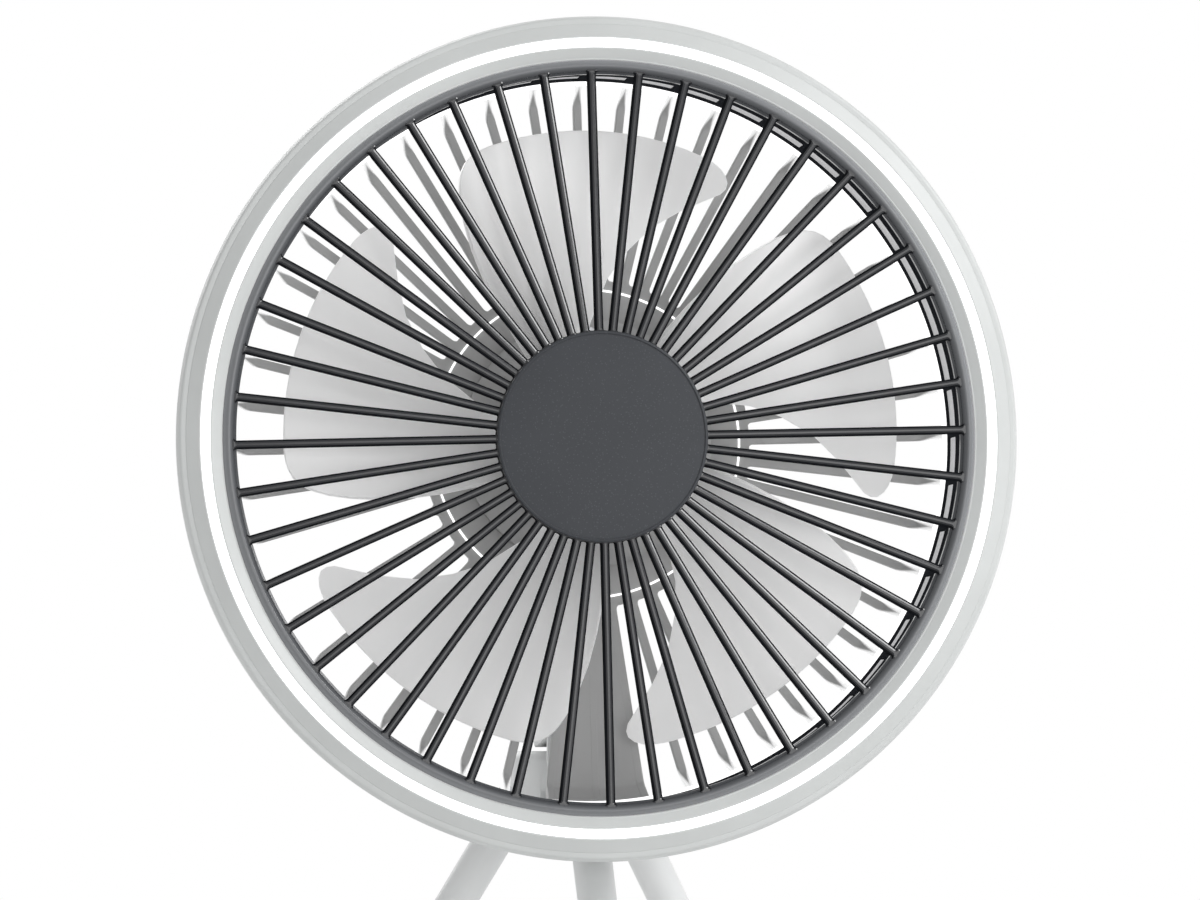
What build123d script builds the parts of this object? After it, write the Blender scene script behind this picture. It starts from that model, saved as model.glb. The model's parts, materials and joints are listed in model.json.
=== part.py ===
from build123d import *
import math
import os

# A portable camping fan: a round ribbed fan head with a ring light in its bezel and a
# rechargeable battery pod on its back, tilting on a small folding tripod.
# Millimetres, +Z up, the floor at Z = 0. The fan faces -Y. "Depth" is measured along +Y,
# rearwards, from the front of the bezel; "radius" is measured from the fan's axis.

# ---- Driving dimensions ---------------------------------------------------------------
RING_RADIUS = 100.0
FAN_HEIGHT = 225.0          # fan axis above the floor
WALL = 2.0                  # moulded walls
SCREW_SHORT = 0.2           # how far a screw's tip stays inside the wall it holds

# Grilles
RIB_COUNT = 48
RIB_TURN = 1.55             # turn of the rib pattern about the fan's axis, degrees
FRONT_RIB = 2.0             # rib widths
REAR_RIB = 2.1
RIB_CORNER = 0.7            # rounding of the windows' outer corners
CAP_RADIUS = 24.9
GRILLE_WINDOW_INNER = 25.7
GRILLE_WINDOW_OUTER = 86.6
GRILLE_RADIUS = 89.2
GRILLE_BORE = 19.0
HOOP_RADIUS = 87.3
HOOP_START = 3.0
HOOP_WALL = 0.7
HOOP_END = 22.4
REAR_SLOT_INNER = 39.5
REAR_SLOT_OUTER = 87.0
PANEL_SLOTS = 2             # slots left closed, either side of the rear basket's lowest rib

# Bezel and ring light
BEZEL_INNER = 89.4
BEZEL_OUTER = 97.8
LIGHT_INNER = 92.2
LIGHT_OUTER = 94.5
GROOVE_FLOOR = 5.0
BEZEL_WALL = 1.5
BEZEL_END = 20.5
CREST = -0.8                # depth of the bezel's highest line
LED_COUNT = 48

# Basket
BACK_INNER = 31.0           # depths of the flat back
BACK_OUTER = BACK_INNER + WALL
SCREW_CIRCLE = 93.6
RING_SCREWS = 6
RING_SCREW_SEAT = 17.5      # depths of the head's seat and of the tip
RING_SCREW_TIP = 8.5

# Rotor and motor
BLADE_COUNT = 5
BLADE_RADIUS = 74.2
BLADE_LEAD = 88.0           # axial advance of the blade surface in one turn
BLADE_THICKNESS = 1.7
BLADE_DEPTH = 14.0
BLADE_TURN = 105.0          # direction of the first blade's radial line, degrees
HUB_RADIUS = 21.5
HUB_FRONT = 5.5
HUB_END = 25.5
CAN_RADIUS = 18.0
CAN_WALL = 0.8
MAGNET_INNER = 15.2
STATOR_RADIUS = 14.5
STATOR_TEETH = 9
STATOR_FRONT = 13.5
STATOR_END = 23.5
TUBE_RADIUS = 5.5
BEARING_RADIUS = 4.0
BEARING_WIDTH = 4.0
BEARING_FRONT = 10.2
BEARING_REAR = 24.2
SHAFT_RADIUS = 1.48
PLATE_RADIUS = 30.0
PLATE_FRONT = 28.2
PLATE_SCREW_CIRCLE = 25.5

# Battery pod
POD_RADIUS = 37.3
POD_END = 57.0
POD_BOSS = 22.0             # screw bosses at plus and minus this, across and up
POD_SCREW_SEAT = 51.5
BATTERY_WIDTH = 36.0
BATTERY_HEIGHT = 52.0
BATTERY_DEPTH = 13.0
BOARD_RADIUS = 33.5
BOARD_FRONT = 49.5
BOARD_THICKNESS = 1.6
BUTTON_RADIUS = 5.0
BUTTON_SPACING = 16.0
BUTTON_HEIGHT = -9.0        # below the fan's axis
BUTTON_TRAVEL = 0.6
BUTTON_PROUD = 0.9

# Tilt hinge and tripod
TILT_DROP = 66.0            # tilt axis below the fan's axis
TRIPOD_DEPTH = 56.0         # tripod axis behind the bezel
TILT_PIN_RADIUS = 2.5
TILT_EYE_RADIUS = 7.0
EAR_INNER = 6.0
EAR_OUTER = 9.5
NECK_HALF = 5.4
BRACKET_BASE = 3.0
NECK_STEM_HALF = 6.4
TRIPOD_TURN = 4.0           # turn of the tripod under the head, degrees
TRIPOD_HUB_RADIUS = 16.0
TRIPOD_HUB_TOP = 74.0       # below the fan's axis
TRIPOD_HUB_BOTTOM = 92.0
LEG_PIVOT_RADIUS = 13.5
LEG_PIVOT_DROP = 84.0       # below the fan's axis
LEG_SPLAY = 32.6            # degrees from the vertical
LEG_TONGUE = 6.0
LEG_EYE = 4.6
LEG_TUBE_START = 9.0
LEG_TOP_RADIUS = 4.8
LEG_TIP_RADIUS = 4.2
LEG_END = 163.0
FOOT_RADIUS = 5.6
FOOT_START = 150.0
FOOT_END = 168.0
LEG_PIN_RADIUS = 1.5
LEG_PIN_HALF = 7.5

# ---- Places worked out from them ------------------------------------------------------
SPLAY = math.radians(LEG_SPLAY)
FOOT_REACH = LEG_PIVOT_RADIUS + FOOT_END * math.sin(SPLAY)


def foot_extent(degrees):
    """How far a foot reaches in a level direction this far round from its leg's."""
    share = math.cos(math.radians(degrees))
    rim = math.sqrt(1 - (share * math.sin(SPLAY)) ** 2)
    return FOOT_REACH * share + FOOT_RADIUS * rim


# The front foot and the right one are the ends of the object's depth, and Y = 0 its middle.
TRIPOD_Y = (foot_extent(TRIPOD_TURN) - foot_extent(60 - TRIPOD_TURN)) / 2
HEAD_Y = TRIPOD_Y - TRIPOD_DEPTH
RIB_PITCH = 360 / RIB_COUNT

CENTRE = Vector(0, HEAD_Y, FAN_HEIGHT)
FACE = Plane(origin=CENTRE, x_dir=(1, 0, 0), z_dir=(0, -1, 0))
PROFILE = Plane(origin=CENTRE, x_dir=(1, 0, 0), z_dir=(0, 0, 1))
FAN_AXIS = Axis(CENTRE, (0, 1, 0))
TILT_AXIS_PLANE = Plane(
    origin=(0, TRIPOD_Y, FAN_HEIGHT - TILT_DROP), x_dir=(0, 1, 0), z_dir=(1, 0, 0)
)
HUB_PLANE = Plane(origin=(0, TRIPOD_Y, FAN_HEIGHT))
LEG_TURNS = {"front": 270 + TRIPOD_TURN, "right": 30 + TRIPOD_TURN, "left": 150 + TRIPOD_TURN}

os.makedirs("parts", exist_ok=True)


def face_at(depth):
    """Plane facing the viewer at a depth: X to the right, Y up, a negative extrusion goes
    rearwards."""
    return FACE.offset(-depth)


def hub_at(drop):
    """Horizontal plane on the tripod's axis, this far below the fan's axis."""
    return HUB_PLANE.offset(-drop)


def polar(radius, degrees):
    """Point in the plane of a sketch, by radius and angle."""
    angle = math.radians(degrees)
    return (radius * math.cos(angle), radius * math.sin(angle))


def leg_frame(turn):
    """Outward and pin directions of the leg at this turn, and the middle of its pin."""
    outward = Vector(*polar(1, turn), 0)
    along = Vector(-outward.Y, outward.X, 0)
    return outward, along, hub_at(LEG_PIVOT_DROP).origin + outward * LEG_PIVOT_RADIUS


def save(piece, name):
    """Labels a finished piece and writes it."""
    piece.part.label = name
    export_step(piece.part, f"parts/{name}.step")


def turned(*corners):
    """Ring turned about the fan's axis from corners given as (radius, depth)."""
    with BuildPart() as piece:
        with BuildSketch(PROFILE):
            with BuildLine():
                Polyline(*corners, close=True)
            make_face()
        revolve(axis=FAN_AXIS)
    return piece


def window(inner, outer, rib, inner_corner, outer_corner):
    """The gap between two radial ribs of constant width, centred on the sketch's X."""
    half_pitch = RIB_PITCH / 2
    inner_angle = half_pitch - math.degrees(math.asin(rib / 2 / inner))
    outer_angle = half_pitch - math.degrees(math.asin(rib / 2 / outer))
    with BuildSketch() as gap:
        with BuildLine():
            ThreePointArc(polar(inner, inner_angle), (inner, 0), polar(inner, -inner_angle))
            Line(polar(inner, -inner_angle), polar(outer, -outer_angle))
            ThreePointArc(polar(outer, -outer_angle), (outer, 0), polar(outer, outer_angle))
            Line(polar(outer, outer_angle), polar(inner, inner_angle))
        make_face()
        ends = gap.vertices().sort_by(Axis.X)
        fillet(ends[:2], inner_corner)
        fillet(gap.vertices().sort_by(Axis.X)[-2:], outer_corner)
    return gap


# ---- Front grille: a shallow cone of radial ribs between a hub ring and a rim -----------
RIM_INNER = 86.4
front_gap = window(GRILLE_WINDOW_INNER, GRILLE_WINDOW_OUTER, FRONT_RIB, 0.35, RIB_CORNER)
with BuildPart() as front_grille:
    with BuildSketch(face_at(-5)):
        Circle(GRILLE_RADIUS)
        with PolarLocations(0, RIB_COUNT, start_angle=RIB_TURN + RIB_PITCH / 2):
            add(front_gap.sketch, mode=Mode.SUBTRACT)
        Circle(GRILLE_BORE, mode=Mode.SUBTRACT)
    extrude(amount=-12)
    # The ribs and rim keep what lies inside this turned section.
    with BuildSketch(PROFILE):
        with BuildLine():
            Polyline(
                (GRILLE_BORE - 1, 1.2), (GRILLE_BORE - 1, -1.5), (25.3, -1.5), (RIM_INNER, -0.2),
            )
            ThreePointArc((RIM_INNER, -0.2), (88.0, -0.45), (GRILLE_RADIUS, 0.6))
            Polyline(
                (GRILLE_RADIUS, 0.6), (GRILLE_RADIUS + 1, 0.6), (GRILLE_RADIUS + 1, HOOP_START),
                (RIM_INNER, HOOP_START), (25.3, 1.2), (GRILLE_BORE - 1, 1.2),
            )
        make_face()
    revolve(axis=FAN_AXIS, mode=Mode.INTERSECT)
save(front_grille, "front_grille")

# Windowed hoop behind the rim: one post behind each rib, a plain band at either end.
FRONT_BAND = 8.5
REAR_BAND = 1.0
with BuildPart() as grille_hoop:
    with BuildSketch(face_at(HOOP_START)):
        Circle(HOOP_RADIUS)
        Circle(HOOP_RADIUS - HOOP_WALL, mode=Mode.SUBTRACT)
    extrude(amount=-(HOOP_END - HOOP_START))
    with BuildSketch(face_at(HOOP_START + FRONT_BAND)):
        with PolarLocations(HOOP_RADIUS, RIB_COUNT, start_angle=RIB_TURN + RIB_PITCH / 2):
            Rectangle(4 * HOOP_WALL, HOOP_RADIUS * math.radians(RIB_PITCH) - FRONT_RIB)
    extrude(amount=-(HOOP_END - HOOP_START - FRONT_BAND - REAR_BAND), mode=Mode.SUBTRACT)
save(grille_hoop, "grille_hoop")

# Centre cap: a plain disc with a rounded edge, held by a ring of spigot behind it.
with BuildPart() as centre_cap:
    with BuildSketch(PROFILE):
        with BuildLine():
            ThreePointArc((0, -3.7), (12, -3.6), (23.7, -3.3))
            ThreePointArc((23.7, -3.3), (24.6, -2.9), (CAP_RADIUS, -2.1))
            Polyline(
                (CAP_RADIUS, -2.1), (CAP_RADIUS, -1.5), (18.8, -1.5), (18.8, 1.6),
                (17.2, 1.6), (17.2, -1.5), (0, -1.5), (0, -3.7),
            )
        make_face()
    revolve(axis=FAN_AXIS)
save(centre_cap, "centre_cap")

# ---- Bezel with the ring light in its groove ------------------------------------------
BOSS_RADIUS = 2.2
BOSS_END = 12.0
with BuildPart() as bezel_ring:
    with BuildSketch(PROFILE):
        with BuildLine():
            Polyline(
                (BEZEL_INNER, 1.0),
                (LIGHT_INNER - 0.3, CREST),
                (LIGHT_INNER, CREST + 0.1),
                (LIGHT_INNER, GROOVE_FLOOR),
                (LIGHT_OUTER, GROOVE_FLOOR),
                (LIGHT_OUTER, CREST + 0.1),
                (LIGHT_OUTER + 0.3, CREST),
                (BEZEL_OUTER - 0.2, 0.8),
                (BEZEL_OUTER, 1.1),
                (BEZEL_OUTER, 2.6),
                (LIGHT_OUTER + BEZEL_WALL, 2.6),
                (LIGHT_OUTER + BEZEL_WALL, GROOVE_FLOOR + 1.4),
                (BEZEL_INNER + BEZEL_WALL, GROOVE_FLOOR + 1.4),
                (BEZEL_INNER + BEZEL_WALL, BEZEL_END),
                (BEZEL_INNER, BEZEL_END),
                close=True,
            )
        make_face()
    revolve(axis=FAN_AXIS)
    with BuildSketch(face_at(GROOVE_FLOOR + 1.0)):
        with PolarLocations(SCREW_CIRCLE, RING_SCREWS):
            Circle(BOSS_RADIUS)
    extrude(amount=-(BOSS_END - GROOVE_FLOOR - 1.0))
    with BuildSketch(face_at(BOSS_END)):
        with PolarLocations(SCREW_CIRCLE, RING_SCREWS):
            Circle(1.05)
    extrude(amount=4, mode=Mode.SUBTRACT)
save(bezel_ring, "bezel_ring")

DIFFUSER_GAP = 0.1
with BuildPart() as light_diffuser:
    with BuildSketch(PROFILE):
        with BuildLine():
            middle = (LIGHT_INNER + LIGHT_OUTER) / 2
            low = (LIGHT_INNER + DIFFUSER_GAP, -0.4)
            high = (LIGHT_OUTER - DIFFUSER_GAP, -0.4)
            ThreePointArc(low, (middle, -1.2), high)
            Polyline(high, (high[0], 2.2), (low[0], 2.2), low)
        make_face()
    revolve(axis=FAN_AXIS)
save(light_diffuser, "light_diffuser")

led_board = turned(
    (LIGHT_INNER + 0.2, GROOVE_FLOOR - 1.0),
    (LIGHT_OUTER - 0.2, GROOVE_FLOOR - 1.0),
    (LIGHT_OUTER - 0.2, GROOVE_FLOOR),
    (LIGHT_INNER + 0.2, GROOVE_FLOOR),
)
save(led_board, "led_board")

with BuildPart() as led_chips:
    with BuildSketch(face_at(GROOVE_FLOOR - 1.0)):
        with PolarLocations((LIGHT_INNER + LIGHT_OUTER) / 2, LED_COUNT):
            Rectangle(1.4, 2.8)
    extrude(amount=0.8)
save(led_chips, "led_chips")

# ---- Rear basket: ring housing, sloped shoulder and flat slotted back in one moulding ----
SLOT_CORNER = 1.1           # rounding of the slots' inner corners
rear_gap = window(REAR_SLOT_INNER, REAR_SLOT_OUTER, REAR_RIB, SLOT_CORNER, RIB_CORNER)
OPEN_SLOTS = RIB_COUNT - PANEL_SLOTS
FIRST_CLOSED = 270 + RIB_TURN - RIB_PITCH / 2
PANEL_SCREWS = (-61.0, -75.0)
with BuildPart() as rear_basket:
    with BuildSketch(PROFILE):
        with BuildLine():
            ThreePointArc((98.0, 1.0), (99.35, 1.45), (RING_RADIUS, 3.0))
            Line((RING_RADIUS, 3.0), (99.6, 11))
            ThreePointArc((99.6, 11), (98.1, 18.0), (93.2, 22.6))
            Line((93.2, 22.6), (88.6, 24.0))
            Line((88.6, 24.0), (85.0, 30.6))
            ThreePointArc((85.0, 30.6), (83.9, 32.2), (82.2, BACK_OUTER))
            Polyline(
                (82.2, BACK_OUTER), (0, BACK_OUTER), (0, BACK_INNER), (82.0, BACK_INNER),
                (83.2, 29.8), (86.8, 23.2), (89.3, 22.2), (89.3, BEZEL_END),
                (91.1, BEZEL_END), (92.6, 20.6), (96.4, 17.0), (97.7, 11),
                (97.8, 5.6), (96.6, 4.4), (96.6, 2.6), (98.0, 2.6), (98.0, 1.0),
            )
        make_face()
    revolve(axis=FAN_AXIS)
    with BuildSketch(face_at(BOSS_END)):
        with PolarLocations(SCREW_CIRCLE, RING_SCREWS):
            Circle(2.45)
    extrude(amount=-(21.0 - BOSS_END))
    # Ring screws: shank holes and head recesses, opened from the rear.
    with BuildSketch(face_at(BOSS_END)):
        with PolarLocations(SCREW_CIRCLE, RING_SCREWS):
            Circle(1.15)
    extrude(amount=-12, mode=Mode.SUBTRACT)
    with BuildSketch(face_at(RING_SCREW_SEAT)):
        with PolarLocations(SCREW_CIRCLE, RING_SCREWS):
            Circle(2.0)
    extrude(amount=-8, mode=Mode.SUBTRACT)
    # Air slots through the back and up the shoulder.
    with BuildSketch(face_at(24.6)):
        with PolarLocations(
            0, OPEN_SLOTS, start_angle=FIRST_CLOSED + PANEL_SLOTS * RIB_PITCH,
            angular_range=OPEN_SLOTS * RIB_PITCH, endpoint=False,
        ):
            add(rear_gap.sketch)
    extrude(amount=-10, mode=Mode.SUBTRACT)
    # Pilot holes for the motor plate, the pod and the tilt bracket, and the lead hole.
    with BuildSketch(face_at(BACK_INNER - 1)):
        with PolarLocations(PLATE_SCREW_CIRCLE, 4):
            Circle(1.2)
        with GridLocations(2 * POD_BOSS, 2 * POD_BOSS, 2, 2):
            Circle(1.25)
        with Locations([(0, drop) for drop in PANEL_SCREWS]):
            Circle(1.1)
        with Locations((0, 16)):
            Circle(3)
    extrude(amount=-(WALL + 2), mode=Mode.SUBTRACT)
save(rear_basket, "rear_basket")


def screws(name, places, head_plane, head_radius, head_height, shank_radius, shank_length):
    """Pan-head screws: the head stands on the plane, the shank goes the other way."""
    with BuildPart() as group:
        with BuildSketch(head_plane):
            with Locations(places):
                Circle(head_radius)
        extrude(amount=-head_height)
        with BuildSketch(head_plane.offset(-head_height)):
            with Locations(places):
                RegularPolygon(head_radius * 0.55, 6)
        extrude(amount=head_height / 2, mode=Mode.SUBTRACT)
        with BuildSketch(head_plane):
            with Locations(places):
                Circle(shank_radius)
        extrude(amount=shank_length)
    save(group, name)


def circle_places(radius, count):
    """Points spread evenly on a circle."""
    return [polar(radius, 360 * i / count) for i in range(count)]


screws("ring_screws", circle_places(SCREW_CIRCLE, RING_SCREWS), face_at(RING_SCREW_SEAT),
       1.9, 1.5, 1.05, RING_SCREW_SEAT - RING_SCREW_TIP)

# ---- Impeller: hub cup and five swept, twisted blades -----------------------------------
HALF_SPAN = 62.0            # half width of the blade surface before it is trimmed
SECTION_DISTANCES = (16.0, 32.0, 54.0, 78.0)


def blade_edge(radius, degrees):
    """Point of the blade's outline, its angle counted as seen from the front."""
    return polar(radius, degrees - BLADE_TURN)


with BuildPart() as blade:
    for distance in SECTION_DISTANCES:
        slope = math.atan(BLADE_LEAD / (2 * math.pi * distance))
        tangent = (0, math.cos(slope), math.sin(slope))
        with BuildSketch(Plane(origin=(distance, 0, 0), x_dir=tangent, z_dir=(1, 0, 0))):
            Rectangle(2 * HALF_SPAN / math.cos(slope), BLADE_THICKNESS)
    loft()
    with BuildSketch(Plane.XY.offset(-40)):
        with BuildLine():
            # Leading edge, tip lobe, outer arc, trailing edge, root inside the hub's wall.
            Spline(
                blade_edge(19.6, 99), blade_edge(38.9, 85.2), blade_edge(53.5, 74.4),
                blade_edge(68.7, 62),
            )
            ThreePointArc(
                blade_edge(68.7, 62), blade_edge(72.2, 62.6), blade_edge(BLADE_RADIUS, 66.5),
            )
            ThreePointArc(
                blade_edge(BLADE_RADIUS, 66.5), blade_edge(BLADE_RADIUS, 88),
                blade_edge(BLADE_RADIUS, 111),
            )
            ThreePointArc(
                blade_edge(BLADE_RADIUS, 111), blade_edge(72.6, 115.7), blade_edge(68.5, 118.6),
            )
            Spline(
                blade_edge(68.5, 118.6), blade_edge(60, 121.8), blade_edge(45.6, 126),
                blade_edge(19.6, 133),
            )
            ThreePointArc(blade_edge(19.6, 133), blade_edge(19.6, 116), blade_edge(19.6, 99))
        make_face()
    extrude(amount=80, mode=Mode.INTERSECT)

with BuildPart() as impeller:
    with BuildSketch(PROFILE):
        with BuildLine():
            Polyline((SHAFT_RADIUS, HUB_FRONT), (HUB_RADIUS - 3.5, HUB_FRONT))
            ThreePointArc(
                (HUB_RADIUS - 3.5, HUB_FRONT),
                (HUB_RADIUS - 1.0, HUB_FRONT + 1.1),
                (HUB_RADIUS, HUB_FRONT + 3.6),
            )
            Polyline(
                (HUB_RADIUS, HUB_FRONT + 3.6), (HUB_RADIUS, HUB_END), (CAN_RADIUS, HUB_END),
                (CAN_RADIUS, HUB_FRONT + 2.5), (SHAFT_RADIUS, HUB_FRONT + 2.5),
                (SHAFT_RADIUS, HUB_FRONT),
            )
        make_face()
    revolve(axis=FAN_AXIS)
    for turn in range(BLADE_COUNT):
        spin = Rotation(0, 0, BLADE_TURN + 360 / BLADE_COUNT * turn)
        add(face_at(BLADE_DEPTH).location * spin * blade.part)
save(impeller, "impeller")

rotor_can = turned(
    (4.0, HUB_FRONT + 2.5),
    (CAN_RADIUS, HUB_FRONT + 2.5),
    (CAN_RADIUS, HUB_END - 0.5),
    (CAN_RADIUS - CAN_WALL, HUB_END - 0.5),
    (CAN_RADIUS - CAN_WALL, HUB_FRONT + 3.3),
    (4.0, HUB_FRONT + 3.3),
)
save(rotor_can, "rotor_can")

magnet_ring = turned(
    (MAGNET_INNER, STATOR_FRONT - 1),
    (CAN_RADIUS - CAN_WALL, STATOR_FRONT - 1),
    (CAN_RADIUS - CAN_WALL, STATOR_END + 1),
    (MAGNET_INNER, STATOR_END + 1),
)
save(magnet_ring, "magnet_ring")

with BuildPart() as motor_shaft:
    with BuildSketch(face_at(HUB_FRONT)):
        Circle(SHAFT_RADIUS)
    extrude(amount=-(BACK_INNER - 1.0 - HUB_FRONT))
save(motor_shaft, "motor_shaft")

shaft_clip = turned((SHAFT_RADIUS, 28.6), (3.1, 28.6), (3.1, 29.2), (SHAFT_RADIUS, 29.2))
save(shaft_clip, "shaft_clip")

# ---- Motor plate with its bearing tube, and the stator ----------------------------------
with BuildPart() as motor_plate:
    with BuildSketch(PROFILE):
        with BuildLine():
            Polyline(
                (BEARING_RADIUS, 9.7), (TUBE_RADIUS, 9.7), (TUBE_RADIUS, 26.6),
                (TUBE_RADIUS + 1.6, PLATE_FRONT), (PLATE_RADIUS, PLATE_FRONT),
                (PLATE_RADIUS, BACK_INNER), (BEARING_RADIUS, BACK_INNER),
                (BEARING_RADIUS, BEARING_REAR), (3.2, BEARING_REAR),
                (3.2, BEARING_FRONT + BEARING_WIDTH),
                (BEARING_RADIUS, BEARING_FRONT + BEARING_WIDTH), close=True,
            )
        make_face()
    revolve(axis=FAN_AXIS)
    with BuildSketch(face_at(PLATE_FRONT - 1)):
        with PolarLocations(PLATE_SCREW_CIRCLE, 4):
            Circle(1.3)
        with Locations((0, 16)):
            Circle(3)
    extrude(amount=-6, mode=Mode.SUBTRACT)
save(motor_plate, "motor_plate")

plate_screw_plane = Plane(face_at(PLATE_FRONT).origin, x_dir=(1, 0, 0), z_dir=(0, 1, 0))
screws("plate_screws", circle_places(PLATE_SCREW_CIRCLE, 4), plate_screw_plane, 2.4, 1.5,
       1.2, BACK_OUTER - SCREW_SHORT - PLATE_FRONT)

for name, start in (("bearing_front", BEARING_FRONT), ("bearing_rear", BEARING_REAR)):
    with BuildPart() as bearing:
        with BuildSketch(face_at(start)):
            Circle(BEARING_RADIUS)
            Circle(1.5, mode=Mode.SUBTRACT)
        extrude(amount=-BEARING_WIDTH)
        # Shield recess between the races, front and rear.
        for side, way in ((start, -0.35), (start + BEARING_WIDTH, 0.35)):
            with BuildSketch(face_at(side)):
                Circle(3.2)
                Circle(2.2, mode=Mode.SUBTRACT)
            extrude(amount=way, mode=Mode.SUBTRACT)
    save(bearing, name)

TOOTH_WIDTH = 2.6
SHOE_ARC = 15.5             # half the angle of a tooth's shoe
with BuildPart() as stator_core:
    with BuildSketch(face_at(STATOR_FRONT)):
        Circle(7.3)
        with PolarLocations(10.3, STATOR_TEETH):
            Rectangle(6.8, TOOTH_WIDTH)
        with BuildSketch(mode=Mode.PRIVATE) as shoe:
            Circle(STATOR_RADIUS)
            Circle(STATOR_RADIUS - 1.3, mode=Mode.SUBTRACT)
            Polygon(
                (0, 0), polar(30, SHOE_ARC), polar(30, -SHOE_ARC), align=None,
                mode=Mode.INTERSECT,
            )
        with PolarLocations(0, STATOR_TEETH):
            add(shoe.sketch)
        Circle(TUBE_RADIUS, mode=Mode.SUBTRACT)
    extrude(amount=-(STATOR_END - STATOR_FRONT))
save(stator_core, "stator_core")

# One coil round each tooth.
COIL_OVERHANG = 1.5
with BuildPart() as stator_coils:
    with BuildSketch(face_at(STATOR_FRONT - COIL_OVERHANG)):
        with PolarLocations(10.4, STATOR_TEETH):
            Rectangle(4.8, 4.9)
    extrude(amount=-(STATOR_END - STATOR_FRONT + 2 * COIL_OVERHANG))
    with BuildSketch(face_at(STATOR_FRONT)):
        with PolarLocations(10.4, STATOR_TEETH):
            Rectangle(6.0, TOOTH_WIDTH)
    extrude(amount=-(STATOR_END - STATOR_FRONT), mode=Mode.SUBTRACT)
save(stator_coils, "stator_coils")

# ---- Battery pod on the flat back --------------------------------------------------------
BOSS_PLACES = [(x, y) for x in (-POD_BOSS, POD_BOSS) for y in (-POD_BOSS, POD_BOSS)]
BUTTON_PLACES = {"fan_button": -BUTTON_SPACING / 2, "light_button": BUTTON_SPACING / 2}
LENS_PLACES = [(x, BUTTON_HEIGHT + 13) for x in (-6, -2, 2, 6)]
SOCKET_WIDTH = 9.0
SOCKET_HEIGHT = 3.3
SOCKET_REACH = 36.0
POD_FLOOR = POD_END - WALL
with BuildPart() as pod_cover:
    with BuildSketch(PROFILE):
        with BuildLine():
            Line((POD_RADIUS, BACK_OUTER), (36.7, 49.5))
            ThreePointArc((36.7, 49.5), (34.6, 54.6), (29.6, 56.7))
            Polyline(
                (29.6, 56.7), (0, POD_END), (0, POD_FLOOR), (29.0, POD_FLOOR - 0.3),
            )
            ThreePointArc((29.0, POD_FLOOR - 0.3), (33.0, 53.0), (34.7, 49.2))
            Polyline((34.7, 49.2), (35.3, BACK_OUTER), (POD_RADIUS, BACK_OUTER))
        make_face()
    revolve(axis=FAN_AXIS)
    with BuildSketch(face_at(BACK_OUTER)):
        with GridLocations(2 * POD_BOSS, 2 * POD_BOSS, 2, 2):
            Circle(3.3)
    extrude(amount=-(POD_FLOOR + 0.6 - BACK_OUTER))
    with BuildSketch(face_at(BACK_OUTER)):
        with GridLocations(2 * POD_BOSS, 2 * POD_BOSS, 2, 2):
            Circle(1.35)
    extrude(amount=-(POD_END - BACK_OUTER + 1), mode=Mode.SUBTRACT)
    with BuildSketch(face_at(POD_SCREW_SEAT)):
        with GridLocations(2 * POD_BOSS, 2 * POD_BOSS, 2, 2):
            Circle(2.3)
    extrude(amount=-8, mode=Mode.SUBTRACT)
    with BuildSketch(face_at(POD_FLOOR - 1)):
        with Locations([(x, BUTTON_HEIGHT) for x in BUTTON_PLACES.values()]):
            Circle(BUTTON_RADIUS + 0.1)
        with Locations(LENS_PLACES):
            Circle(0.9)
    extrude(amount=-6, mode=Mode.SUBTRACT)
    with BuildSketch(Plane(origin=CENTRE + Vector(30, 0, 0), x_dir=(0, 1, 0), z_dir=(1, 0, 0))):
        with Locations((BOARD_FRONT - SOCKET_HEIGHT / 2, 0)):
            RectangleRounded(SOCKET_HEIGHT + 0.2, SOCKET_WIDTH + 0.2, 1.7)
    extrude(amount=12, mode=Mode.SUBTRACT)
save(pod_cover, "pod_cover")

screws("pod_screws", BOSS_PLACES, face_at(POD_SCREW_SEAT), 2.2, 1.5, 1.25,
       POD_SCREW_SEAT - BACK_INNER - SCREW_SHORT)

with BuildPart() as battery_pack:
    with BuildSketch(face_at(BACK_OUTER + 1.5)):
        RectangleRounded(BATTERY_WIDTH, BATTERY_HEIGHT, 2.0)
    extrude(amount=-BATTERY_DEPTH)
    fillet(battery_pack.edges().group_by(Axis.Y)[-1], 1.5)
save(battery_pack, "battery_pack")

with BuildPart() as main_board:
    with BuildSketch(face_at(BOARD_FRONT)):
        Circle(BOARD_RADIUS)
        with GridLocations(2 * POD_BOSS, 2 * POD_BOSS, 2, 2):
            Circle(3.8, mode=Mode.SUBTRACT)
    extrude(amount=-BOARD_THICKNESS)
save(main_board, "main_board")

SWITCH_TOP = 52.9
with BuildPart() as button_switches:
    with BuildSketch(face_at(BOARD_FRONT + BOARD_THICKNESS)):
        with Locations([(x, BUTTON_HEIGHT) for x in BUTTON_PLACES.values()]):
            Rectangle(6, 6)
    extrude(amount=-1.2)
    with BuildSketch(face_at(BOARD_FRONT + BOARD_THICKNESS + 1.2)):
        with Locations([(x, BUTTON_HEIGHT) for x in BUTTON_PLACES.values()]):
            Circle(1.6)
    extrude(amount=-(SWITCH_TOP - BOARD_FRONT - BOARD_THICKNESS - 1.2))
save(button_switches, "button_switches")

with BuildPart() as charging_socket:
    with BuildSketch(Plane(origin=CENTRE + Vector(28, 0, 0), x_dir=(0, 1, 0), z_dir=(1, 0, 0))):
        with Locations((BOARD_FRONT - SOCKET_HEIGHT / 2, 0)):
            RectangleRounded(SOCKET_HEIGHT, SOCKET_WIDTH, 1.6)
    extrude(amount=SOCKET_REACH - 28)
    offset(amount=-0.4, openings=charging_socket.faces().sort_by(Axis.X)[-1:])
save(charging_socket, "charging_socket")

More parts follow.
